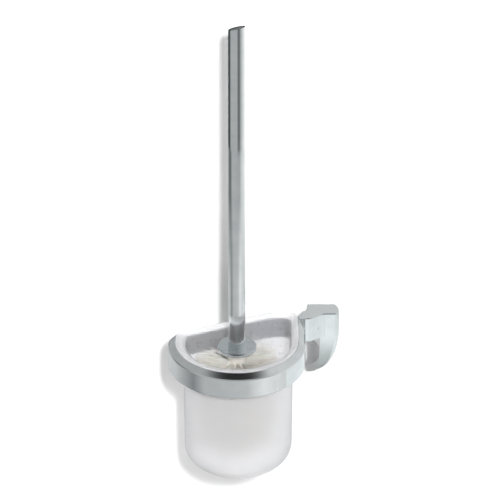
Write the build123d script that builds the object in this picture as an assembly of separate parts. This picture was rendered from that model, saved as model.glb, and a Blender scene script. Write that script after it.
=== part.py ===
from build123d import *
from math import acos, cos, radians, sin, tan
import os

# Wall-hung toilet brush holder: a chrome ring on a wall foot, a frosted glass vessel in the ring,
# and a brush with a chrome stick. Millimetres, X to the right, Y towards the wall, Z up.
# The origin is the centre of the foot's wall face. The vessel's own axis is the axis of the stick,
# and heights on the vessel, ring and brush are measured from the top of the glass rim.

# Layout
foot_height = 56.6
foot_half_width = 14.0
stick_x = -65.0
stick_y = -54.4
rim_z = foot_height / 2

# Half-moon outline: a front arc, a straight right side, a slanted back and a short straight back
back_slant = 22.4
rim_radius = 47.4
rim_back_gap = 29.6
rim_back_y = 42.9

# Glass
flange_thick = 3.5
vessel_radius = 42.4
vessel_centre_x = 1.1
vessel_back_gap = 26.5
vessel_back_y = 39.8
vessel_depth = 105.0
glass_wall = 2.5
glass_floor = 6.0
taper_scale = 0.975
round_scale = 0.31
round_steps = 7

# Ring
ring_radius = 53.0
ring_height = 20.6
bevel_drop = 3.7
bevel_width = 4.6
seat_depth = 4.3
liner_thick = 0.7
liner_inset = 1.2
edge_round = 1.0
pocket_gap = 0.5
opening_gap = 0.7

# Foot: upright above, swept back and in towards its tip below
foot_depth = 14.3
foot_wall = 3.0
foot_roof = 3.0
front_round = 3.5
top_round = 0.8
sweep_x = -8.5
sweep_z = rim_z - 14.0
sweep_rise = 40.0
arm_z = rim_z - ring_height
arm_x = 4.0
side_back_x = 11.2
side_full_y = -8.3
arm_depth = 21.6
step_width = 1.7
step_y = -6.8
side_face_x = ring_radius + stick_x
scoop_radius = 11.5
scoop_x = -12.4
scoop_y = -16.5
scoop_top = arm_z - 1.0
scoop_bottom = scoop_top - 28.0

# Fastening inside the foot
tenon_thick = 4.0
tenon_height = 11.0
tenon_y = -9.8
tenon_z = rim_z - 11.5
screw_x = -3.9
screw_radius = 2.0
head_radius = 3.0
head_height = 3.2
screw_grip = 5.2
boss_radius = 4.2
washer_height = 0.7
plate_thick = 2.5
plate_gap = 0.4
plate_bottom = -14.8
wall_hole_radius = 2.5
wall_hole_spacing = 25.0
wall_hole_x = 3.4
wall_hole_z = 3.6
hole_gap = 0.1
lug_thick = 3.0
lug_width = 5.4
lug_depth = 5.0
grub_x = 1.6
grub_y = -4.0
grub_length = 7.0
hex_depth = 2.0

# Stick and head
stick_radius = 6.5
tube_wall = 1.2
stick_top = 280.0
cut_angle = 24.0
cut_heading = 124.0
disc_top = -4.2
disc_thick = 2.5
disc_radius = 15.0
washer_thick = 1.0
bush_height = 22.0
core_apothem = 7.5
core_bottom = -88.0
collar_radius = 11.0
collar_height = 3.0
washer_radius = 10.0
nut_radius = 5.8
nut_pocket = 5.0
end_gap = 0.5
stud_radius = 3.0
tuft_rows = 7
tufts_per_row = 12
tuft_reach = 29.0
tuft_root_radius = 1.4
tuft_tip_radius = 2.6
first_row_z = -17.5
row_pitch = 11.0

at_vessel = Pos(stick_x, stick_y, rim_z)


def half_moon(radius, centre_x, back_gap, back_y, corner, bend=30.0):
    """Half-moon face about the stick axis, with its corners rounded."""
    slant = radians(back_slant)
    reach = back_gap + centre_x * sin(slant)
    start = radians(90 + back_slant) + acos(reach / radius)
    left = (centre_x + radius * cos(start), radius * sin(start))
    knee = ((back_y * cos(slant) - back_gap) / sin(slant), back_y)
    back_right = (centre_x + radius, back_y)
    right = (centre_x + radius, 0)
    front = (centre_x, -radius)
    edges = Polyline(left, knee, back_right, right) + ThreePointArc(right, front, left)
    face = make_face(edges)
    face = fillet(face.vertices().sort_by_distance((*left, 0))[:1], corner)
    face = fillet(face.vertices().sort_by_distance((*back_right, 0))[:1], corner)
    return fillet(face.vertices().sort_by_distance((*knee, 0))[:1], bend)


def rim_outline(grow=0.0, corner=8.0):
    """Outline of the glass rim, larger all round by grow."""
    return half_moon(rim_radius + grow, 0, rim_back_gap + grow, rim_back_y + grow, corner + grow)


def vessel_outline(grow=0.0, corner=9.0):
    """Outline of the glass body under the flange, larger all round by grow."""
    return half_moon(vessel_radius + grow, vessel_centre_x, vessel_back_gap + grow,
                     vessel_back_y + grow, corner + grow)


def ring_outline(grow=0.0):
    """Outer outline of the ring: proud of the rim in front and at the sides, hidden under it behind."""
    return half_moon(ring_radius + grow, 0, rim_back_gap - 0.5, rim_back_y - 0.5, 11)


def prism(face, low, high):
    """Upright prism on a face, between two heights."""
    return extrude(Pos(0, 0, low) * face, high - low)


def bowl(outline, top, bottom, round_height):
    """Tapering cup whose lower edge is rounded: scaled copies of one outline, joined by a loft."""
    sections = [Pos(0, 0, top) * outline]
    for step in range(round_steps + 1):
        turn = radians(90 * step / round_steps)
        size = taper_scale - round_scale * (1 - cos(turn))
        sections.append(Pos(0, 0, bottom + round_height * (1 - sin(turn))) * scale(outline, by=size))
    return loft(sections, ruled=True)


def glass_vessel():
    """Frosted glass: flat flange, tapering body, thick floor."""
    outer = bowl(vessel_outline(), -flange_thick, -vessel_depth, 15.0)
    flange = prism(rim_outline(), -flange_thick, 0)
    flange = fillet(flange.faces().sort_by(Axis.Z)[-1].outer_wire().edges(), 1.0)
    cavity_outline = vessel_outline(-glass_wall)
    cavity = bowl(cavity_outline, -flange_thick, glass_floor - vessel_depth, 11.0)
    throat = prism(cavity_outline, -flange_thick, 2)
    return outer + flange - cavity - throat


def seat_liner():
    """Thin flat liner on the ring's ledge."""
    liner = prism(rim_outline(-liner_inset), -seat_depth, liner_thick - seat_depth)
    return liner - prism(vessel_outline(opening_gap), -seat_depth - 1, 0)


def ring_shoulder():
    """Block at the ring's right back corner, as tall as the ring, where the foot's arm meets it."""
    near = -arm_depth
    corners = [(side_face_x, near), (side_face_x - 6, near), (side_face_x - 5.2, -18.6),
               (side_face_x - 2.2, -10.6), (side_face_x, -9.9)]
    block = make_face(Polyline(*corners, close=True))
    return prism(block, sweep_z, rim_z)


def ring_holder():
    """Chrome ring with a bevelled top, the shoulder that meets the foot, and its tenon."""
    band_top = -bevel_drop - edge_round
    band = prism(ring_outline(), -ring_height, band_top)
    band = fillet(band.faces().sort_by(Axis.Z)[0].edges(), edge_round)
    slope = bevel_drop / bevel_width
    bevel = loft([Pos(0, 0, height) * ring_outline(-inset) for height, inset in (
        (band_top, 0), (-bevel_drop, 0.3), (slope - bevel_drop, 1.2), (-0.4, bevel_width))], ruled=True)
    ring = at_vessel * (band + bevel) + ring_shoulder()
    ring -= at_vessel * prism(rim_outline(pocket_gap), -seat_depth, 5)
    ring -= at_vessel * prism(vessel_outline(opening_gap), -ring_height - 5, 5)
    tenon = Pos(side_face_x / 2 - 1, tenon_y, tenon_z) * Box(-side_face_x, tenon_thick, tenon_height)
    hole = Pos(screw_x, tenon_y, tenon_z) * Rot(90, 0, 0) * Cylinder(screw_radius + hole_gap, 10)
    return ring + tenon - hole


def foot_plan(inset=0.0):
    """Top view of the foot: flat front, rounded right side, arm bowed forward to the ring on the left."""
    left, right, front = side_face_x + inset, foot_half_width - inset, inset - foot_depth
    side = ThreePointArc((side_back_x - inset, 0), (right - 0.8, side_full_y / 2), (right, side_full_y))
    straight = Polyline((right, side_full_y), (right, front), (arm_x, front))
    arm = Spline((arm_x, front), (-2.4, front - 2.7), (-7, front - 6.2), (left, inset - arm_depth),
                 tangents=[(-1, 0), (-1, -0.05)])
    back = Polyline((left, inset - arm_depth), (left, step_y - 3), (left + step_width, step_y),
                    (left + step_width, 0), (side_back_x - inset, 0))
    face = make_face(side + straight + arm + back)
    return fillet(face.vertices().sort_by_distance((right, front, 0))[:1], front_round - inset)


def foot_arm(inset=0.0):
    """Lower part of the arm, down to the level of the ring's lower edge."""
    block = prism(foot_plan(inset), arm_z + inset, sweep_z)
    return block & Pos(arm_x - 20, 0, arm_z) * Box(40, 80, 40)


def foot_sweep(inset=0.0):
    """Lower part of the foot: an elliptic sweep seen from the front, met by one seen from the side."""
    left, low, right = side_face_x + inset, inset - rim_z, foot_half_width - inset
    front = inset - foot_depth
    quarter = EllipticalCenterArc((sweep_x, sweep_z), right - sweep_x, sweep_z - low,
                                  start_angle=-90, arc_size=90)
    shield = make_face(Polyline((right, sweep_z), (left, sweep_z), (left, low), (sweep_x, low)) + quarter)
    curve = EllipticalCenterArc((-1, arm_z), -front - 1, sweep_rise - inset, start_angle=180, arc_size=68)
    lower_end = curve @ 1
    profile = make_face(curve + Polyline(tuple(lower_end), (0, lower_end.Y), (0, sweep_z),
                                         (front, sweep_z), (front, arm_z)))
    return extrude(Plane.XZ * shield, 30, both=True) & extrude(Plane.YZ * profile, 30, both=True)


def below_top(inset=0.0):
    """Upright space under the foot's top view, over the height of the sweep."""
    return prism(foot_plan(inset), -rim_z - 1, sweep_z)


def rounded_sweep():
    """The swept part with its front edge rounded from the right side down to the tip."""
    sweep = foot_sweep()
    curved = sweep.edges().filter_by(GeomType.BSPLINE)
    front = curved.filter_by(lambda edge: edge.center().X > side_face_x + 1)
    return fillet(front, front_round) & below_top()


def foot_scoop(grow=0.0):
    """Hollow under the arm: an upright round cut, domed at both ends."""
    radius = scoop_radius + grow
    high, low = scoop_top - scoop_radius, scoop_bottom + scoop_radius
    drum = Pos(0, 0, (high + low) / 2) * Cylinder(radius, high - low)
    for end in (high, low):
        drum += Pos(0, 0, end) * Sphere(radius)
    return Pos(scoop_x, scoop_y, 0) * drum


def screw_boss():
    """Boss inside the foot, against which the arm screw pulls the tenon."""
    face_y = tenon_y - tenon_thick / 2
    return Pos(screw_x, face_y - 5, tenon_z) * Rot(90, 0, 0) * Cylinder(boss_radius, 10)


def foot_cavity():
    """Room inside the foot: open to the wall, one wall thickness away from every outer face."""
    room = prism(foot_plan(foot_wall), sweep_z, rim_z - foot_roof)
    room += (foot_sweep(foot_wall) & below_top(foot_wall)) + foot_arm(foot_wall)
    return room - foot_scoop(foot_wall) - screw_boss()


def foot_cover():
    """Hollow foot with its arm: rounded outside, scooped under the arm, with a window for the tenon."""
    upper = prism(foot_plan(), sweep_z, rim_z)
    top_edges = upper.faces().sort_by(Axis.Z)[-1].outer_wire().edges()
    upper = fillet(top_edges.filter_by(lambda edge: edge.center().Y < -2 and edge.center().X > -9),
                   top_round)
    shell = upper + rounded_sweep() + foot_arm()
    shell -= foot_scoop()
    shell -= foot_cavity()
    shell -= Pos(side_face_x + 2, tenon_y, tenon_z) * Box(8, tenon_thick + 0.2, tenon_height + 0.2)
    hole_middle = tenon_y - (tenon_thick + screw_grip) / 2
    shell -= Pos(screw_x, hole_middle, tenon_z) * Rot(90, 0, 0) * Cylinder(screw_radius, screw_grip)
    shell -= Pos(grub_x, grub_y, plate_bottom - grub_length) * Cylinder(screw_radius, 2 * grub_length)
    return shell


def wall_plate():
    """Steel plate on the wall inside the foot, with two screw holes and the lug of the grub screw."""
    inset = foot_wall + plate_gap
    outline = prism(foot_plan(inset), sweep_z, rim_z - foot_roof - plate_gap)
    outline += foot_sweep(inset) & prism(foot_plan(inset), plate_bottom, sweep_z)
    outline -= Pos(-14, 0, arm_z - 20) * Box(20, 40, 40)
    plate = outline & Pos(0, -plate_thick / 2, 0) * Box(60, plate_thick, 90)
    lug = Pos(grub_x, -plate_thick - 2, plate_bottom + lug_thick / 2) * Box(
        lug_width, lug_depth, lug_thick)
    for side in (-1, 1):
        hole_z = wall_hole_z + side * wall_hole_spacing / 2
        plate -= Pos(wall_hole_x, 0, hole_z) * Rot(90, 0, 0) * Cylinder(wall_hole_radius, 10)
    return plate + lug


def arm_screw():
    """Socket screw along Y: its head behind the tenon, its shank in the foot's front wall."""
    head_y = tenon_y + tenon_thick / 2 + washer_height
    length = tenon_thick + washer_height + screw_grip
    shank = Pos(0, 0, -length / 2) * Cylinder(screw_radius, length)
    head = Pos(0, 0, head_height / 2) * Cylinder(head_radius, head_height)
    socket = Pos(0, 0, head_height - hex_depth) * extrude(RegularPolygon(1.7, 6), 2 * hex_depth)
    return Pos(screw_x, head_y, tenon_z) * Rot(-90, 0, 0) * (head + shank - socket)


def arm_washer():
    """Washer under the head of the arm screw."""
    ring = Cylinder(head_radius, washer_height) - Cylinder(screw_radius, 2)
    return Pos(screw_x, tenon_y + (tenon_thick + washer_height) / 2, tenon_z) * Rot(90, 0, 0) * ring


def grub_screw():
    """Set screw from below against the lug of the wall plate."""
    screw = Pos(grub_x, grub_y, plate_bottom - grub_length / 2) * Cylinder(screw_radius, grub_length)
    socket = Pos(grub_x, grub_y, plate_bottom - grub_length) * extrude(RegularPolygon(1.2, 6), hex_depth)
    return screw - socket


def oblique_cut(height):
    """Half space above the oblique end of the stick, whose face looks back and to the left."""
    side = 60.0
    block = Box(side, side, side, align=(Align.CENTER, Align.CENTER, Align.MIN))
    return Pos(0, 0, height) * Rot(0, 0, cut_heading) * Rot(0, cut_angle, 0) * block


def cut_centre(radius):
    """Height of the oblique cut on the axis, for a cut whose highest point is the stick's top."""
    return stick_top - radius * tan(radians(cut_angle))


def rod(radius, low, high):
    """Upright cylinder on the stick's axis."""
    return Pos(0, 0, low) * Cylinder(radius, high - low, align=(Align.CENTER, Align.CENTER, Align.MIN))


def handle_tube():
    """Chrome stick: tube with an oblique upper end."""
    bore = stick_radius - tube_wall
    tube = rod(stick_radius, disc_top, stick_top + 1) - rod(bore, disc_top - 1, stick_top + 2)
    return tube - oblique_cut(cut_centre(stick_radius))


def handle_cap():
    """Plug just inside the oblique end of the stick."""
    bore = stick_radius - tube_wall
    plug = rod(bore, stick_top - 22, stick_top + 1)
    return plug - oblique_cut(cut_centre(stick_radius) - 0.8)


def handle_bush():
    """Threaded bush in the lower end of the stick."""
    bush = rod(stick_radius - tube_wall, disc_top, disc_top + bush_height)
    return bush - rod(stud_radius, disc_top - 1, disc_top + bush_height + 1)


def splash_disc():
    """Polished disc under the stick, with a fine bevel round its upper edge."""
    disc = rod(disc_radius, disc_top - disc_thick, disc_top)
    disc = chamfer(disc.edges().group_by(Axis.Z)[-1], 0.6)
    return disc - rod(stud_radius, disc_top - 5, disc_top + 1)


def sealing_washer():
    """Rubber washer between the disc and the core."""
    top = disc_top - disc_thick
    return rod(washer_radius, top - washer_thick, top) - rod(stud_radius, top - 3, top + 1)


core_top = disc_top - disc_thick - washer_thick


def brush_core():
    """Plastic core with narrow flats for the tufts, a collar on top and a nut pocket below."""
    flats = RegularPolygon(core_apothem, 2 * tufts_per_row, major_radius=False)
    core = prism(flats, core_bottom, core_top)
    core += rod(collar_radius, core_top - collar_height, core_top)
    core -= rod(stud_radius, core_bottom - 1, core_top + 1)
    return core - prism(RegularPolygon(nut_radius, 6), core_bottom, core_bottom + nut_pocket)


def head_nut():
    """Hexagon nut in the pocket of the core."""
    nut = prism(RegularPolygon(nut_radius, 6), core_bottom + end_gap, core_bottom + nut_pocket)
    return nut - rod(stud_radius, core_bottom - 1, core_bottom + 9)


def head_stud():
    """Rod that ties the bush, the disc, the core and the nut together."""
    return rod(stud_radius, core_bottom + end_gap, disc_top + bush_height - 2)


def tuft(length):
    """One flared tuft of bristles, along +X from its root."""
    cone = Cone(tuft_root_radius, tuft_tip_radius, length, align=(Align.CENTER, Align.CENTER, Align.MIN))
    return Rot(0, 90, 0) * cone


def tuft_length(heading, size):
    """Length that keeps a tuft inside the vessel, which is closest at its slanted back."""
    away = radians(heading - 90 - back_slant)
    reach = tuft_reach
    if cos(away) > 0.2:
        wall = (vessel_back_gap - glass_wall) * size - 0.9 - tuft_tip_radius * abs(sin(away))
        reach = min(reach, wall / cos(away))
    return reach - core_apothem


def bristle_row(row):
    """One row of tufts round the core; every second row is turned by half a step."""
    step = 360 / tufts_per_row
    height = first_row_z - row * row_pitch
    size = 0.97
    if row == tuft_rows - 1:
        size = 0.93
    tufts = []
    for index in range(tufts_per_row):
        heading = (index + row % 2 / 2) * step + step / 4
        root = Pos(core_apothem, 0, 0) * tuft(tuft_length(heading, size))
        tufts.append(Pos(0, 0, height) * Rot(0, 0, heading) * root)
    return Compound(tufts)


def bristle_crown():
    """Tufts that point down from the rim of the core."""
    length = glass_floor_gap()
    tufts = []
    for index in range(6):
        root = Pos(6.5, 0, core_bottom) * Rot(0, 90, 0) * tuft(length)
        tufts.append(Rot(0, 0, 60 * index + 30) * root)
    return Compound(tufts)


def glass_floor_gap():
    """Distance from the core down to just above the glass floor."""
    return core_bottom - (glass_floor - vessel_depth) - 0.3


def save(name, shape):
    """Write one piece as a STEP file."""
    export_step(shape, f"parts/{name}.step")


def main():
    os.makedirs("parts", exist_ok=True)
    save("ring_holder", ring_holder())
    save("foot_cover", foot_cover())
    save("wall_plate", wall_plate())
    save("arm_screw", arm_screw())
    save("arm_washer", arm_washer())
    save("grub_screw", grub_screw())
    on_axis = {
        "seat_liner": seat_liner(),
        "glass_vessel": glass_vessel(),
        "handle_tube": handle_tube(),
        "handle_cap": handle_cap(),
        "handle_bush": handle_bush(),
        "splash_disc": splash_disc(),
        "sealing_washer": sealing_washer(),
        "head_stud": head_stud(),
        "head_nut": head_nut(),
        "brush_core": brush_core(),
        "bristle_crown": bristle_crown(),
    }
    for row in range(tuft_rows):
        on_axis[f"bristle_row_{row + 1}"] = bristle_row(row)
    for name, shape in on_axis.items():
        save(name, at_vessel * shape)


main()
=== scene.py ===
"""Looks of a wall-hung toilet brush holder: chrome ring and foot, frosted glass vessel, brush."""

import math
import random

import bmesh
import bpy
import numpy as np
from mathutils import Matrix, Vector


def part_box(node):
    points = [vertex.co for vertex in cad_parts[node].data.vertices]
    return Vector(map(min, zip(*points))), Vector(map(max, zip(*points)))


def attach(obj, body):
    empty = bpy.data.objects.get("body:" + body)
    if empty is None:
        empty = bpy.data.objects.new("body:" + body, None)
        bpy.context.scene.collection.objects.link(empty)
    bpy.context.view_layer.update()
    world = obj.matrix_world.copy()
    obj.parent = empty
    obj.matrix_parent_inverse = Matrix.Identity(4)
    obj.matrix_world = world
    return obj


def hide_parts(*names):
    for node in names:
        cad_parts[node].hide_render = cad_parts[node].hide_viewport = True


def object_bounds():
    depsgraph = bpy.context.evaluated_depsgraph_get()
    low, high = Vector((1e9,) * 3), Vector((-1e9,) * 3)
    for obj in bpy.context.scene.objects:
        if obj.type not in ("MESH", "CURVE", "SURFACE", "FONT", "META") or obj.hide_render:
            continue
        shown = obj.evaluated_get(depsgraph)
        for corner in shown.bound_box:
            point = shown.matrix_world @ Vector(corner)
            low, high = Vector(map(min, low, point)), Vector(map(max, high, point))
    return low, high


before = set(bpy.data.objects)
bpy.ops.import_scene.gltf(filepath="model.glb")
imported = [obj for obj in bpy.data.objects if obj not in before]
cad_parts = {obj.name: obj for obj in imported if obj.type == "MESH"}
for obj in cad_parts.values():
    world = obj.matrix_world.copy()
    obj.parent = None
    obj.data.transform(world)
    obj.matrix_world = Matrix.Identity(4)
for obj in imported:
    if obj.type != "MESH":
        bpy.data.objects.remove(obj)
CAD_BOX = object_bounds()

MM = 0.001
SEED = 7

# Lay-out of the object, read from the frame
GLASS_LOW, GLASS_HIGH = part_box("glass_vessel")
TUBE_LOW, TUBE_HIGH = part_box("handle_tube")
AXIS = Vector(((TUBE_LOW.x + TUBE_HIGH.x) / 2, (TUBE_LOW.y + TUBE_HIGH.y) / 2, GLASS_HIGH.z))


# ---------------------------------------------------------------- camera

VIEW_ELEVATION = math.radians(30.6)
VIEW_DISTANCE = 12.0
FRAME_WIDTH = 0.385
SENSOR_WIDTH = 36.0
AIM_RIGHT = 0.0101
AIM_UP = 0.0697


def make_camera():
    """Camera square to the wall, looking down at the vessel."""
    up = Vector((0, math.sin(VIEW_ELEVATION), math.cos(VIEW_ELEVATION)))
    back = Vector((0, -math.cos(VIEW_ELEVATION), math.sin(VIEW_ELEVATION)))
    aim = AXIS + Vector((AIM_RIGHT, 0, 0)) + up * AIM_UP
    data = bpy.data.cameras.new("camera")
    data.sensor_width = SENSOR_WIDTH
    data.lens = SENSOR_WIDTH * VIEW_DISTANCE / FRAME_WIDTH
    data.clip_end = 100
    camera = bpy.data.objects.new("camera", data)
    camera.location = aim + back * VIEW_DISTANCE
    camera.rotation_euler = (math.pi / 2 - VIEW_ELEVATION, 0, 0)
    bpy.context.scene.collection.objects.link(camera)
    bpy.context.scene.camera = camera


# ---------------------------------------------------------------- node helpers

def new_material(name):
    """Empty node material with its Principled shader."""
    material = bpy.data.materials.new(name)
    material.use_nodes = True
    tree = material.node_tree
    return material, tree, tree.nodes["Principled BSDF"]


def add(tree, kind, **settings):
    """New node; a setting is a property, or an input where its name starts with in_."""
    node = tree.nodes.new(kind)
    for key, value in settings.items():
        if key.startswith("in_"):
            node.inputs[key[3:].replace("_", " ")].default_value = value
        else:
            setattr(node, key, value)
    return node


def noise(tree, scale, detail=3.0, coordinates=None):
    """Noise texture in object coordinates."""
    node = add(tree, "ShaderNodeTexNoise", in_Scale=scale, in_Detail=detail)
    if coordinates is None:
        coordinates = add(tree, "ShaderNodeTexCoord").outputs["Object"]
    tree.links.new(coordinates, node.inputs["Vector"])
    return node


def spread(tree, source, low, high, start=0.3, stop=0.7):
    """Map a texture's middle range to the range from low to high."""
    node = add(tree, "ShaderNodeMapRange")
    for key, value in (("From Min", start), ("From Max", stop), ("To Min", low), ("To Max", high)):
        node.inputs[key].default_value = value
    tree.links.new(source, node.inputs["Value"])
    return node.outputs["Result"]


def ramp(tree, source, stops):
    """Colour ramp over a list of (position, colour)."""
    node = add(tree, "ShaderNodeValToRGB")
    elements = node.color_ramp.elements
    while len(elements) < len(stops):
        elements.new(0.5)
    for element, (position, colour) in zip(elements, stops):
        element.position = position
        element.color = (*colour, 1)
    tree.links.new(source, node.inputs["Fac"])
    return node.outputs["Color"]


def mix_colour(tree, factor, first, second):
    """Mix of two colours, each a socket or a grey level."""
    node = add(tree, "ShaderNodeMix", data_type="RGBA")
    tree.links.new(factor, node.inputs[0])
    for slot, value in ((6, first), (7, second)):
        if isinstance(value, float):
            node.inputs[slot].default_value = (value, value, value, 1)
        else:
            tree.links.new(value, node.inputs[slot])
    return node.outputs[2]


def bump(tree, shader, source, strength, distance):
    """Bump from a texture, added to the shader."""
    node = add(tree, "ShaderNodeBump", in_Strength=strength, in_Distance=distance)
    tree.links.new(source, node.inputs["Height"])
    tree.links.new(node.outputs["Normal"], shader.inputs["Normal"])


def dress(name, material):
    """Give a CAD node its material."""
    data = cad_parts[name].data
    data.materials.clear()
    data.materials.append(material)


# ---------------------------------------------------------------- materials

def chrome_material(name="chrome"):
    """Polished chrome: bright, faintly cool, with water-mark haze and very fine orange peel."""
    material, tree, shader = new_material(name)
    shader.inputs["Metallic"].default_value = 1.0
    marks = noise(tree, 90, 5)
    colour = ramp(tree, marks.outputs["Fac"], [(0.35, (0.80, 0.83, 0.84)), (0.65, (0.86, 0.885, 0.89))])
    tree.links.new(colour, shader.inputs["Base Color"])
    tree.links.new(spread(tree, marks.outputs["Fac"], 0.05, 0.10), shader.inputs["Roughness"])
    bump(tree, shader, noise(tree, 260, 2).outputs["Fac"], 0.02, 0.0002)
    return material


# The hollow under the arm: painted shade darkens the chrome's base colour inside it, and its roughness is
# raised.
SCOOP_X = -0.0124
SCOOP_Y = -0.0165
SCOOP_RADIUS = 0.0117
SCOOP_EDGE = 0.1 * MM
SCOOP_LOW, SCOOP_HIGH = 7.4 * MM, 7.9 * MM
SCOOP_PAINTED_SHADE_GREY = 0.74
SCOOP_ROUGHNESS = 0.42


def foot_material():
    """Chrome that is rougher inside the hollow under the arm, with painted shade there: a darker base
    colour.
    """
    material = chrome_material("chrome_foot")
    tree = material.node_tree
    shader = tree.nodes["Principled BSDF"]
    place = add(tree, "ShaderNodeTexCoord").outputs["Object"]
    offset = add(tree, "ShaderNodeVectorMath", operation="SUBTRACT")
    offset.inputs[1].default_value = (SCOOP_X, SCOOP_Y, 0)
    tree.links.new(place, offset.inputs[0])
    flat = add(tree, "ShaderNodeVectorMath", operation="MULTIPLY")
    flat.inputs[1].default_value = (1, 1, 0)
    tree.links.new(offset.outputs["Vector"], flat.inputs[0])
    away = add(tree, "ShaderNodeVectorMath", operation="LENGTH")
    tree.links.new(flat.outputs["Vector"], away.inputs[0])
    parts = add(tree, "ShaderNodeSeparateXYZ")
    tree.links.new(place, parts.inputs["Vector"])
    near = spread(tree, away.outputs["Value"], 1, 0, SCOOP_RADIUS, SCOOP_RADIUS + SCOOP_EDGE)
    below = spread(tree, parts.outputs["Z"], 1, 0, SCOOP_LOW, SCOOP_HIGH)
    inside = add(tree, "ShaderNodeMath", operation="MULTIPLY")
    tree.links.new(near, inside.inputs[0])
    tree.links.new(below, inside.inputs[1])
    # Painted shade in the base colour; the raised roughness is real.
    for socket, shade_and_roughness in (("Base Color", SCOOP_PAINTED_SHADE_GREY), ("Roughness", SCOOP_ROUGHNESS)):
        polished = shader.inputs[socket].links[0].from_socket
        value = mix_colour(tree, inside.outputs["Value"], polished, shade_and_roughness)
        tree.links.new(value, shader.inputs[socket])
    return material


def glass_material():
    """Acid-frosted outside of the glass: white and translucent, with a fine satin grain."""
    material, tree, shader = new_material("frosted_glass")
    cloud = noise(tree, 22, 3)
    colour = ramp(tree, cloud.outputs["Fac"], [(0.3, (0.965, 0.965, 0.98)), (0.7, (0.985, 0.985, 0.99))])
    tree.links.new(colour, shader.inputs["Base Color"])
    shader.inputs["IOR"].default_value = 1.45
    shader.inputs["Transmission Weight"].default_value = 0.66
    grain = noise(tree, 900, 2)
    tree.links.new(spread(tree, grain.outputs["Fac"], 0.36, 0.46), shader.inputs["Roughness"])
    bump(tree, shader, grain.outputs["Fac"], 0.08, 0.0003)
    return material


def inner_glass_material():
    """Smooth inside of the glass, with painted shade: its base colour is greyer than the outside's."""
    material, tree, shader = new_material("glass_inside")
    cloud = noise(tree, 18, 2)
    # Painted shade: the inside's grey base colour stands in for the shade inside the vessel.
    colour = ramp(tree, cloud.outputs["Fac"], [(0.3, (0.72, 0.72, 0.75)), (0.7, (0.78, 0.78, 0.80))])
    tree.links.new(colour, shader.inputs["Base Color"])
    shader.inputs["IOR"].default_value = 1.45
    shader.inputs["Transmission Weight"].default_value = 0.88
    tree.links.new(spread(tree, noise(tree, 300, 2).outputs["Fac"], 0.26, 0.34), shader.inputs["Roughness"])
    return material


def bristle_material():
    """Nylon filaments: warm white dimmed by painted shade, and slightly darker from tuft to tuft."""
    material, tree, shader = new_material("bristle")
    tone = noise(tree, 160, 2)
    # Painted shade: the whole range is darker than the filaments' own warm white; the tuft-to-tuft change
    # is random tone.
    colour = ramp(tree, tone.outputs["Fac"], [(0.3, (0.66, 0.62, 0.56)), (0.7, (0.80, 0.78, 0.73))])
    tree.links.new(colour, shader.inputs["Base Color"])
    tree.links.new(spread(tree, tone.outputs["Fac"], 0.35, 0.5), shader.inputs["Roughness"])
    shader.inputs["Subsurface Weight"].default_value = 0.15
    shader.inputs["Subsurface Scale"].default_value = 0.002
    return material


def plastic_material(name, dark, light, roughness, scale=400.0):
    """Moulded plastic with a fine spark-eroded grain."""
    material, tree, shader = new_material(name)
    grain = noise(tree, scale, 3)
    colour = ramp(tree, grain.outputs["Fac"], [(0.35, dark), (0.65, light)])
    tree.links.new(colour, shader.inputs["Base Color"])
    gloss = spread(tree, grain.outputs["Fac"], roughness, roughness + 0.12)
    tree.links.new(gloss, shader.inputs["Roughness"])
    bump(tree, shader, grain.outputs["Fac"], 0.15, 0.0002)
    return material


def metal_material(name, dark, light, roughness):
    """Machined or plated metal with fine lines round its axis."""
    material, tree, shader = new_material(name)
    shader.inputs["Metallic"].default_value = 1.0
    position = add(tree, "ShaderNodeTexCoord").outputs["Object"]
    stretch = add(tree, "ShaderNodeMapping", in_Scale=(60, 900, 60))
    tree.links.new(position, stretch.inputs["Vector"])
    lines = noise(tree, 1.0, 3, stretch.outputs["Vector"])
    colour = ramp(tree, lines.outputs["Fac"], [(0.3, dark), (0.7, light)])
    tree.links.new(colour, shader.inputs["Base Color"])
    gloss = spread(tree, lines.outputs["Fac"], roughness, roughness + 0.15)
    tree.links.new(gloss, shader.inputs["Roughness"])
    bump(tree, shader, lines.outputs["Fac"], 0.1, 0.0001)
    return material


# ---------------------------------------------------------------- half-moon outlines

SLANT = math.radians(22.4)
RAYS = 192
BISECTIONS = 40
BACK_BLEND = 2.0
RIM_RADIUS, RIM_GAP, RIM_BACK, RIM_CORNER = 47.4, 29.6, 42.9, 8
BODY_RADIUS, BODY_GAP, BODY_BACK, BODY_CORNER = 42.4, 26.5, 39.8, 9
BODY_CENTRE = 1.1


def round_max(first, second, radius):
    """Larger of two distances, with the edge between them rounded."""
    corner = np.hypot(np.maximum(first + radius, 0), np.maximum(second + radius, 0))
    return np.minimum(np.maximum(first, second), -radius) + corner


def half_moon(radius, centre_x, back_gap, back_y, corner):
    """Distance of each ray from the axis to the outline, in millimetres."""
    angles = np.linspace(0, 2 * math.pi, RAYS, endpoint=False)
    low, high = np.full(RAYS, 1.0), np.full(RAYS, 3 * radius)
    for _ in range(BISECTIONS):
        middle = (low + high) / 2
        x, y = middle * np.cos(angles), middle * np.sin(angles)
        straight = (x > centre_x) & (y > 0)
        front = np.where(straight, x - centre_x, np.hypot(x - centre_x, y)) - radius
        slanted = y * math.cos(SLANT) - x * math.sin(SLANT) - back_gap
        back = round_max(slanted, y - back_y, BACK_BLEND)
        rounding = np.where(x > centre_x, corner, corner / 3)
        outside = round_max(front, back, rounding) > 0
        low, high = np.where(outside, low, middle), np.where(outside, middle, high)
    return np.stack([low * np.cos(angles), low * np.sin(angles)], axis=1)


def rim(grow=0.0):
    """Outline of the glass flange."""
    return half_moon(RIM_RADIUS + grow, 0, RIM_GAP + grow, RIM_BACK + grow, RIM_CORNER + grow)


def body(grow=0.0, size=1.0):
    """Outline of the glass below its flange."""
    gap, back, corner = BODY_GAP + grow, BODY_BACK + grow, BODY_CORNER + grow
    return half_moon(BODY_RADIUS + grow, BODY_CENTRE, gap, back, corner) * size


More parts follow.
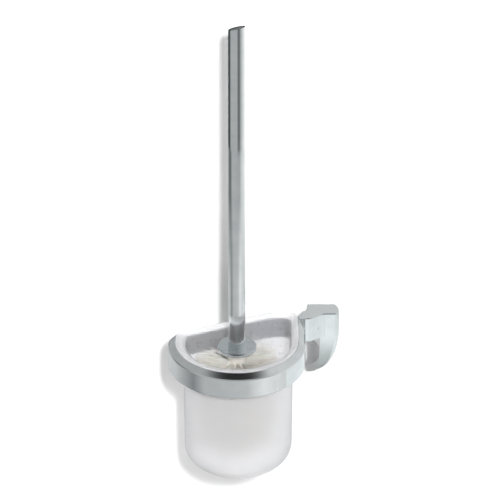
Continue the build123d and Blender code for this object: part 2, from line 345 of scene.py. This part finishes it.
def skin(name, rings, material):
    """Closed surface through rings of points, (outline, height), from one flat end to the other."""
    verts = []
    for outline, height in rings:
        for x, y in outline:
            verts.append((AXIS.x + x * MM, AXIS.y + y * MM, AXIS.z + height * MM))
    faces = []
    for ring in range(len(rings) - 1):
        for ray in range(RAYS):
            after = (ray + 1) % RAYS
            low, high = ring * RAYS, (ring + 1) * RAYS
            faces.append((low + ray, low + after, high + after, high + ray))
    faces.append(tuple(reversed(range(RAYS))))
    faces.append(tuple(range((len(rings) - 1) * RAYS, len(rings) * RAYS)))
    mesh = bpy.data.meshes.new(name)
    mesh.from_pydata(verts, [], faces)
    mesh.shade_smooth()
    mesh.materials.append(material)
    piece = bpy.data.objects.new(name, mesh)
    bpy.context.scene.collection.objects.link(piece)
    tidy_normals(mesh)
    return piece


def tidy_normals(mesh):
    """Point every face outwards."""
    work = bmesh.new()
    work.from_mesh(mesh)
    bmesh.ops.recalc_face_normals(work, faces=work.faces)
    work.to_mesh(mesh)
    work.free()


# ---------------------------------------------------------------- glass

TAPER = 0.975
ROUNDING = 0.31
WALL = 2.5
OUTSIDE_TOP, OUTSIDE_BOTTOM, OUTSIDE_CURVE = -4.4, -105, 15
INSIDE_TOP, INSIDE_BOTTOM, INSIDE_CURVE = -8.0, -99, 11
INSIDE_SHOULDER = INSIDE_BOTTOM + INSIDE_CURVE
SHOULDER_TO_RIM = 85
# Profiles as (growth of the outline, height): the fillet under the flange, the flange with its two
# beads, and the fillet above the inside wall
UNDER_FLANGE = [(0.25, -3.8), (0.9, -3.5)]
FLANGE = [(-1.2, -3.5), (-0.35, -3.2), (-0.02, -2.4), (-0.02, -1.1), (-0.3, -0.35), (-0.9, -0.02),
          (-1.4, -0.15), (-1.8, -0.6), (-2.4, -0.95), (-3.1, -0.9), (-3.8, -0.5), (-4.4, -0.3),
          (-4.9, -0.55), (-5.3, -1.2)]
INSIDE_FILLET = [(-1.6, -2.6), (-2.2, -4.0), (-2.45, -6.0)]


def cup_side(grow, top, bottom, rounding, steps=10):
    """Rings of one side of the cup, from its bottom to its top."""
    rings = []
    for step in range(4):
        size = (TAPER - ROUNDING) * (0.25 + 0.75 * step / 4)
        rings.append((body(grow, size), bottom))
    for step in range(steps + 1):
        turn = math.radians(90 * step / steps)
        size = TAPER - ROUNDING * (1 - math.sin(turn))
        rings.append((body(grow, size), bottom + rounding * (1 - math.cos(turn))))
    for step in range(1, 9):
        share = step / 8
        height = bottom + rounding + (top - bottom - rounding) * share
        rings.append((body(grow, TAPER + (1 - TAPER) * share), height))
    return rings


def glass_vessel(outside, inside):
    """Frosted half-moon vessel: flange with a bead at its outer and inner edges."""
    rings = cup_side(0, OUTSIDE_TOP, OUTSIDE_BOTTOM, OUTSIDE_CURVE)
    rings += [(body(grow), height) for grow, height in UNDER_FLANGE]
    rings += [(rim(grow), height) for grow, height in FLANGE]
    inside_start = len(rings) * RAYS
    rings += [(body(grow), height) for grow, height in INSIDE_FILLET]
    rings += list(reversed(cup_side(-WALL, INSIDE_TOP, INSIDE_BOTTOM, INSIDE_CURVE)))
    piece = skin("glass_shell", rings, outside)
    piece.data.materials.append(inside)
    inside_end = (len(rings) - 1) * RAYS + 2
    for face in piece.data.polygons:
        if inside_start <= face.index < inside_end and face.index != inside_end - 2:
            face.material_index = 1
    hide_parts("glass_vessel")
    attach(piece, "vessel")


# ---------------------------------------------------------------- bristles

def wall_reach(heading, height):
    """How far a filament may reach before the glass, in millimetres from the axis."""
    share = min(max((height - INSIDE_SHOULDER) / SHOULDER_TO_RIM, 0), 1)
    size = TAPER + (1 - TAPER) * share
    if height < INSIDE_SHOULDER:
        depth = (height - INSIDE_SHOULDER) / INSIDE_CURVE
        size = TAPER - ROUNDING * (1 - math.sqrt(max(0, 1 - depth ** 2)))
    outline = body(-WALL, size)
    index = int(round((heading % (2 * math.pi)) / (2 * math.pi) * RAYS)) % RAYS
    return float(np.hypot(*outline[index]))


def filament(verts, faces, points, radius):
    """Add a thin three-sided tube along a few points, tapering at its tip."""
    first = len(verts)
    direction = (points[-1] - points[0]).normalized()
    side = direction.orthogonal().normalized()
    other = direction.cross(side)
    for index, point in enumerate(points):
        width = radius * (0.6 if index == len(points) - 1 else 1.0)
        for corner in range(3):
            turn = 2 * math.pi * corner / 3
            verts.append(point + (side * math.cos(turn) + other * math.sin(turn)) * width)
    for index in range(len(points) - 1):
        for corner in range(3):
            after = (corner + 1) % 3
            low, high = first + index * 3, first + index * 3 + 3
            faces.append((low + corner, low + after, high + after, high + corner))
    faces.append((first + 2, first + 1, first))
    last = first + (len(points) - 1) * 3
    faces.append((last, last + 1, last + 2))


def bristle_mesh(name, verts, faces, material, node):
    """Make one bristle piece in place of a CAD node, and hide the node."""
    mesh = bpy.data.meshes.new(name)
    mesh.from_pydata(verts, [], faces)
    mesh.materials.append(material)
    piece = bpy.data.objects.new(name, mesh)
    bpy.context.scene.collection.objects.link(piece)
    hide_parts(node)
    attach(piece, "brush")
    return piece


TUFTS = 12
FILAMENTS = 60
FILAMENT_RADIUS = 0.13
REACH = 33.0
CORE_RADIUS = 7.3
ROWS = 7
TUFT_STEP = 360 / TUFTS
FIRST_TUFT = 7.5
CLEARANCE = 1.6
ROOT_SPREAD = 1.3
DROOP = 0.5
CROWN_TUFTS = 10
CROWN_ROOT = 5.5


def bristle_row(row, material, reach_cache):
    """One row of tufts: each tuft fans out from its hole and droops a little."""
    node = f"bristle_row_{row + 1}"
    low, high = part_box(node)
    height = ((low.z + high.z) / 2 - AXIS.z) / MM
    verts, faces = [], []
    draw = random.Random(SEED + row)
    for tuft in range(TUFTS):
        heading = math.radians((tuft + row % 2 / 2) * TUFT_STEP + FIRST_TUFT)
        for _ in range(FILAMENTS):
            fan = draw.gauss(0, 0.16)
            lift = draw.gauss(0, 0.14)
            angle = heading + fan
            key = (int(round((angle % (2 * math.pi)) / (2 * math.pi) * RAYS)) % RAYS, row)
            if key not in reach_cache:
                reach_cache[key] = wall_reach(angle, height - 3)
            limit = min(REACH, reach_cache[key] - CLEARANCE)
            reach = limit * draw.uniform(0.93, 1.0)
            root_side = draw.uniform(-ROOT_SPREAD, ROOT_SPREAD)
            root_up = draw.uniform(-ROOT_SPREAD, ROOT_SPREAD)
            across = Vector((-math.sin(heading), math.cos(heading), 0))
            outward = Vector((math.cos(heading), math.sin(heading), 0))
            root = outward * CORE_RADIUS + across * root_side + Vector((0, 0, height + root_up))
            rise = height + root_up + lift * (reach - CORE_RADIUS)
            tip = Vector((math.cos(angle) * reach, math.sin(angle) * reach, rise))
            points = []
            for step in range(4):
                share = step / 3
                point = root.lerp(tip, share)
                point.z -= DROOP * share * share
                points.append(AXIS + point * MM)
            filament(verts, faces, points, FILAMENT_RADIUS * MM)
    return bristle_mesh(f"bristles_{row + 1}", verts, faces, material, node)


def bristle_crown(material):
    """Short tufts that point down from the core."""
    low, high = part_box("bristle_crown")
    top = (high.z - AXIS.z) / MM
    bottom = (low.z - AXIS.z) / MM + 0.2
    verts, faces = [], []
    draw = random.Random(SEED + 50)
    for tuft in range(CROWN_TUFTS):
        heading = 2 * math.pi * tuft / CROWN_TUFTS
        for _ in range(FILAMENTS):
            spread_out = draw.uniform(6, 14)
            angle = heading + draw.gauss(0, 0.2)
            root = Vector((math.cos(heading) * CROWN_ROOT, math.sin(heading) * CROWN_ROOT, top))
            tip = Vector((math.cos(angle) * spread_out, math.sin(angle) * spread_out,
                          bottom + draw.uniform(0, 2.5)))
            points = [AXIS + root.lerp(tip, step / 2) * MM for step in range(3)]
            filament(verts, faces, points, FILAMENT_RADIUS * MM)
    return bristle_mesh("bristles_bottom", verts, faces, material, "bristle_crown")


# ---------------------------------------------------------------- stage

FLOOR_DROP = 0.25
STAGE_SIZE = 8.0


def stage_plane(name, corners, material):
    """Flat backdrop that gloss and glass don't see."""
    mesh = bpy.data.meshes.new(name)
    mesh.from_pydata(corners, [], [(0, 1, 2, 3)])
    mesh.materials.append(material)
    plane = bpy.data.objects.new(name, mesh)
    bpy.context.scene.collection.objects.link(plane)
    plane.visible_glossy = False
    plane.visible_transmission = False


def pale_material(name, low, high):
    """Matt pale paint with a faint cloudiness."""
    material, tree, shader = new_material(name)
    grain = noise(tree, 3, 2)
    colour = ramp(tree, grain.outputs["Fac"], [(0.3, (low, low, low)), (0.7, (high, high, high))])
    tree.links.new(colour, shader.inputs["Base Color"])
    shader.inputs["Roughness"].default_value = 0.9
    shader.inputs["Specular IOR Level"].default_value = 0.1
    return material, tree, shader


def make_floor():
    """Plain pale floor well under the wall-hung object."""
    material, _, _ = pale_material("floor", 0.90, 0.92)
    level = GLASS_LOW.z - FLOOR_DROP
    size = STAGE_SIZE
    corners = [(-size, -size, level), (size, -size, level), (size, size, level), (-size, size, level)]
    stage_plane("floor", corners, material)


def make_wall():
    """White wall that the foot is fixed to, open to the view from behind."""
    material, tree, shader = pale_material("wall", 0.95, 0.96)
    side = add(tree, "ShaderNodeNewGeometry").outputs["Backfacing"]
    clear = add(tree, "ShaderNodeBsdfTransparent")
    mix = add(tree, "ShaderNodeMixShader")
    tree.links.new(side, mix.inputs["Fac"])
    tree.links.new(shader.outputs["BSDF"], mix.inputs[1])
    tree.links.new(clear.outputs["BSDF"], mix.inputs[2])
    tree.links.new(mix.outputs["Shader"], tree.nodes["Material Output"].inputs["Surface"])
    size = STAGE_SIZE
    low = GLASS_LOW.z - FLOOR_DROP
    y = CAD_BOX[1].y + MM
    stage_plane("wall", [(-size, y, low), (size, y, low), (size, y, size), (-size, y, size)], material)


def heading_of(tree, x_socket, y_socket):
    """Share of a full turn about the vertical, 0.5 towards the viewer, growing to the right."""
    toward = add(tree, "ShaderNodeMath", operation="MULTIPLY")
    toward.inputs[1].default_value = -1
    tree.links.new(y_socket, toward.inputs[0])
    heading = add(tree, "ShaderNodeMath", operation="ARCTAN2")
    tree.links.new(x_socket, heading.inputs[0])
    tree.links.new(toward.outputs["Value"], heading.inputs[1])
    around = add(tree, "ShaderNodeMapRange")
    around.inputs["From Min"].default_value = -math.pi
    around.inputs["From Max"].default_value = math.pi
    tree.links.new(heading.outputs["Value"], around.inputs["Value"])
    return around.outputs["Result"]


def panels(tree, source, stops, tint=0.01):
    """Ramp round the object: (heading in degrees, brightness) stops."""
    return ramp(tree, source, [((turn + 180) / 360, (value - tint, value, value + tint / 2))
                               for turn, value in stops])


BEHIND_GLASS = 1.25
BACKDROP = 0.98
AMBIENT = 0.17
PATCH_DIRECTION = (0, -0.314, 0.951)
PATCH_GREY = 0.03
HORIZON_BLEND = 0.1


def make_world():
    """Studio surround: pale to the camera, dim as fill light, one even level through glass, and with
    panels and a dark ceiling patch for gloss."""
    world = bpy.data.worlds.new("studio")
    bpy.context.scene.world = world
    world.use_nodes = True
    tree = world.node_tree
    background = tree.nodes["Background"]
    direction = add(tree, "ShaderNodeTexCoord").outputs["Generated"]
    parts = add(tree, "ShaderNodeSeparateXYZ")
    tree.links.new(direction, parts.inputs["Vector"])
    around = heading_of(tree, parts.outputs["X"], parts.outputs["Y"])
    below = panels(tree, around, [
        (-120, 0.02), (-80, 0.45), (0, 0.45), (30, 0.10), (60, 0.50), (120, 1.0)])
    above = panels(tree, around, [(-120, 0.42), (0, 0.36), (100, 0.66)])
    patch = add(tree, "ShaderNodeVectorMath", operation="DOT_PRODUCT")
    patch.inputs[1].default_value = PATCH_DIRECTION
    tree.links.new(direction, patch.inputs[0])
    near_patch = add(tree, "ShaderNodeMapRange", interpolation_type="SMOOTHSTEP")
    near_patch.inputs["From Min"].default_value = 0.80
    near_patch.inputs["From Max"].default_value = 0.995
    tree.links.new(patch.outputs["Value"], near_patch.inputs["Value"])
    ceiling = mix_colour(tree, near_patch.outputs["Result"], above, PATCH_GREY)
    height = add(tree, "ShaderNodeMapRange")
    height.inputs["From Min"].default_value = -HORIZON_BLEND
    height.inputs["From Max"].default_value = HORIZON_BLEND
    tree.links.new(parts.outputs["Z"], height.inputs["Value"])
    gloss = mix_colour(tree, height.outputs["Result"], below, ceiling)
    path = add(tree, "ShaderNodeLightPath")
    soft = mix_colour(tree, path.outputs["Is Camera Ray"], AMBIENT, BACKDROP)
    opaque = mix_colour(tree, path.outputs["Is Glossy Ray"], soft, gloss)
    choice = mix_colour(tree, path.outputs["Is Transmission Ray"], opaque, BEHIND_GLASS)
    tree.links.new(choice, background.inputs["Color"])
    background.inputs["Strength"].default_value = 1.0


def gloss_card(name, verts, faces, emission):
    """Studio card that only gloss sees, at one even level to rays that have passed through glass.
    The emission function builds its brightness from its own nodes."""
    material = bpy.data.materials.new(name)
    material.use_nodes = True
    tree = material.node_tree
    tree.nodes.clear()
    output = add(tree, "ShaderNodeOutputMaterial")
    glow = add(tree, "ShaderNodeEmission")
    path = add(tree, "ShaderNodeLightPath")
    colour = mix_colour(tree, path.outputs["Is Transmission Ray"], emission(tree), BEHIND_GLASS)
    tree.links.new(colour, glow.inputs["Color"])
    tree.links.new(glow.outputs["Emission"], output.inputs["Surface"])
    mesh = bpy.data.meshes.new(name)
    mesh.from_pydata(verts, [], faces)
    mesh.materials.append(material)
    card = bpy.data.objects.new(name, mesh)
    bpy.context.scene.collection.objects.link(card)
    for kind in ("camera", "diffuse", "transmission", "volume_scatter", "shadow"):
        setattr(card, "visible_" + kind, False)


CARD_RADIUS = 0.30
CARD_SIDES = 96
CARD_TOP = 0.0
CARD_LOW = -0.42
PANEL_SPLIT_HIGH = -0.04
PANEL_SPLIT_LOW = -0.12


def surround_card():
    """Round card about the stick's axis, for what the ring and the stick reflect: soft upright panels."""
    verts, faces = [], []
    for step in range(CARD_SIDES):
        turn = 2 * math.pi * step / CARD_SIDES
        for height in (CARD_LOW, CARD_TOP):
            outward = Vector((math.sin(turn), -math.cos(turn), 0)) * CARD_RADIUS
            verts.append(AXIS + outward + Vector((0, 0, height)))
        after = (step + 1) % CARD_SIDES
        faces.append((2 * step, 2 * after, 2 * after + 1, 2 * step + 1))

    def emission(tree):
        place = add(tree, "ShaderNodeTexCoord").outputs["Object"]
        offset = add(tree, "ShaderNodeVectorMath", operation="SUBTRACT")
        offset.inputs[1].default_value = AXIS
        tree.links.new(place, offset.inputs[0])
        parts = add(tree, "ShaderNodeSeparateXYZ")
        tree.links.new(offset.outputs["Vector"], parts.inputs["Vector"])
        around = heading_of(tree, parts.outputs["X"], parts.outputs["Y"])
        upper = panels(tree, around, [
            (-125, 0.28), (-105, 0.08), (-60, 0.48), (40, 0.42), (60, 0.66), (140, 1.0)])
        lower = panels(tree, around, [
            (-120, 0.62), (-72, 0.26), (-50, 0.50), (15, 0.56), (42, 0.86), (100, 0.66)])
        share = add(tree, "ShaderNodeMapRange")
        share.inputs["From Min"].default_value = PANEL_SPLIT_HIGH
        share.inputs["From Max"].default_value = PANEL_SPLIT_LOW
        tree.links.new(parts.outputs["Z"], share.inputs["Value"])
        return mix_colour(tree, share.outputs["Result"], upper, lower)

    gloss_card("surround_card", verts, faces, emission)


FRONT_CARD_LEFT = -0.012
FRONT_CARD_RIGHT = 0.028
FRONT_CARD_TOP = -0.022
FRONT_CARD_AWAY = 0.012
SIDE_CARD_RIGHT = 0.042
SIDE_CARD_NEAR = -0.056
SIDE_CARD_FAR = 0.060
SIDE_CARD_TOP = 0.006
CORNER_CARD_LEFT = 0.028
CORNER_CARD_NEAR = -0.090
CORNER_CARD_TOP = -0.008
FOOT_CARD_LOW = -0.26


def foot_cards():
    """Upright cards for the foot: in front, at its corner and beside it, darker at their lower ends."""
    def emission(tree):
        place = add(tree, "ShaderNodeTexCoord").outputs["Object"]
        parts = add(tree, "ShaderNodeSeparateXYZ")
        tree.links.new(place, parts.inputs["Vector"])
        rise = add(tree, "ShaderNodeMapRange")
        rise.inputs["From Min"].default_value = FOOT_CARD_LOW
        rise.inputs["From Max"].default_value = SIDE_CARD_TOP
        tree.links.new(parts.outputs["Z"], rise.inputs["Value"])
        return ramp(tree, rise.outputs["Result"], [
            (0.0, (0.42, 0.45, 0.45)), (0.5, (0.54, 0.57, 0.57)), (0.78, (0.90, 0.94, 0.95)),
            (1.0, (0.76, 0.80, 0.81))])

    front = GLASS_LOW.y - FRONT_CARD_AWAY
    corners = [(FRONT_CARD_LEFT, front), (FRONT_CARD_RIGHT, front)]
    verts = [(x, y, z) for z in (FOOT_CARD_LOW, FRONT_CARD_TOP) for x, y in corners]
    gloss_card("foot_front_card", verts, [(0, 1, 3, 2)], emission)
    sides = [SIDE_CARD_NEAR, SIDE_CARD_FAR]
    verts = [(SIDE_CARD_RIGHT, y, z) for z in (FOOT_CARD_LOW, SIDE_CARD_TOP) for y in sides]
    gloss_card("foot_side_card", verts, [(0, 1, 3, 2)], emission)
    corners = [(CORNER_CARD_LEFT, CORNER_CARD_NEAR), (SIDE_CARD_RIGHT, SIDE_CARD_NEAR)]
    verts = [(x, y, z) for z in (FOOT_CARD_LOW, CORNER_CARD_TOP) for x, y in corners]
    gloss_card("foot_corner_card", verts, [(0, 1, 3, 2)], emission)


def sun(name, strength, spread_angle, right, up):
    """Distant light from an angle to the right of the viewer and an angle above the horizon."""
    data = bpy.data.lights.new(name, "SUN")
    data.energy = strength
    data.angle = math.radians(spread_angle)
    light = bpy.data.objects.new(name, data)
    right, up = math.radians(right), math.radians(up)
    toward = Vector((math.sin(right) * math.cos(up), -math.cos(right) * math.cos(up), math.sin(up)))
    light.rotation_euler = toward.to_track_quat("Z", "Y").to_euler()
    light.visible_glossy = False
    bpy.context.scene.collection.objects.link(light)


def make_lights():
    """Plain studio light on everything: a soft key from the front and a very soft fill from the left."""
    sun("key", 3.0, 5, 7.4, 35)
    sun("fill", 0.25, 60, -45, 25)


# ---------------------------------------------------------------- the object

def dress_cad(chrome):
    """Materials of the CAD nodes that stay."""
    steel = metal_material("plate_steel", (0.50, 0.51, 0.52), (0.64, 0.65, 0.66), 0.3)
    # Painted shade: the splash disc's chrome is given a darker base colour than the rest of the chrome.
    polished = metal_material("disc_chrome_painted_shade", (0.60, 0.64, 0.66), (0.68, 0.72, 0.74), 0.08)
    screw = metal_material("screw_steel", (0.42, 0.43, 0.44), (0.56, 0.57, 0.58), 0.25)
    brass = metal_material("brass", (0.62, 0.48, 0.24), (0.78, 0.63, 0.34), 0.25)
    cap = plastic_material("cap_plastic", (0.13, 0.135, 0.14), (0.18, 0.185, 0.19), 0.4)
    rubber = plastic_material("seal_rubber", (0.03, 0.03, 0.032), (0.06, 0.06, 0.064), 0.6, 250)
    # Painted shade: the core's plastic is darkened for the shade under the splash disc.
    core = plastic_material("core_plastic", (0.62, 0.60, 0.55), (0.70, 0.68, 0.64), 0.5)
    liner = plastic_material("liner_plastic", (0.80, 0.82, 0.83), (0.88, 0.90, 0.91), 0.35)
    wear = {
        chrome: ("ring_holder", "handle_tube"),
        foot_material(): ("foot_cover",),
        polished: ("splash_disc",),
        steel: ("wall_plate",),
        screw: ("arm_screw", "arm_washer", "grub_screw", "head_stud", "head_nut"),
        brass: ("handle_bush",),
        cap: ("handle_cap",),
        rubber: ("sealing_washer",),
        core: ("brush_core",),
        liner: ("seat_liner",),
    }
    for material, nodes in wear.items():
        for node in nodes:
            dress(node, material)


make_camera()
make_world()
make_floor()
make_wall()
surround_card()
foot_cards()
chrome = chrome_material()
dress_cad(chrome)
glass_vessel(glass_material(), inner_glass_material())
make_lights()
bristle = bristle_material()
reaches = {}
for row_index in range(ROWS):
    bristle_row(row_index, bristle, reaches)
bristle_crown(bristle)

bpy.context.scene.view_settings.view_transform = "Standard"
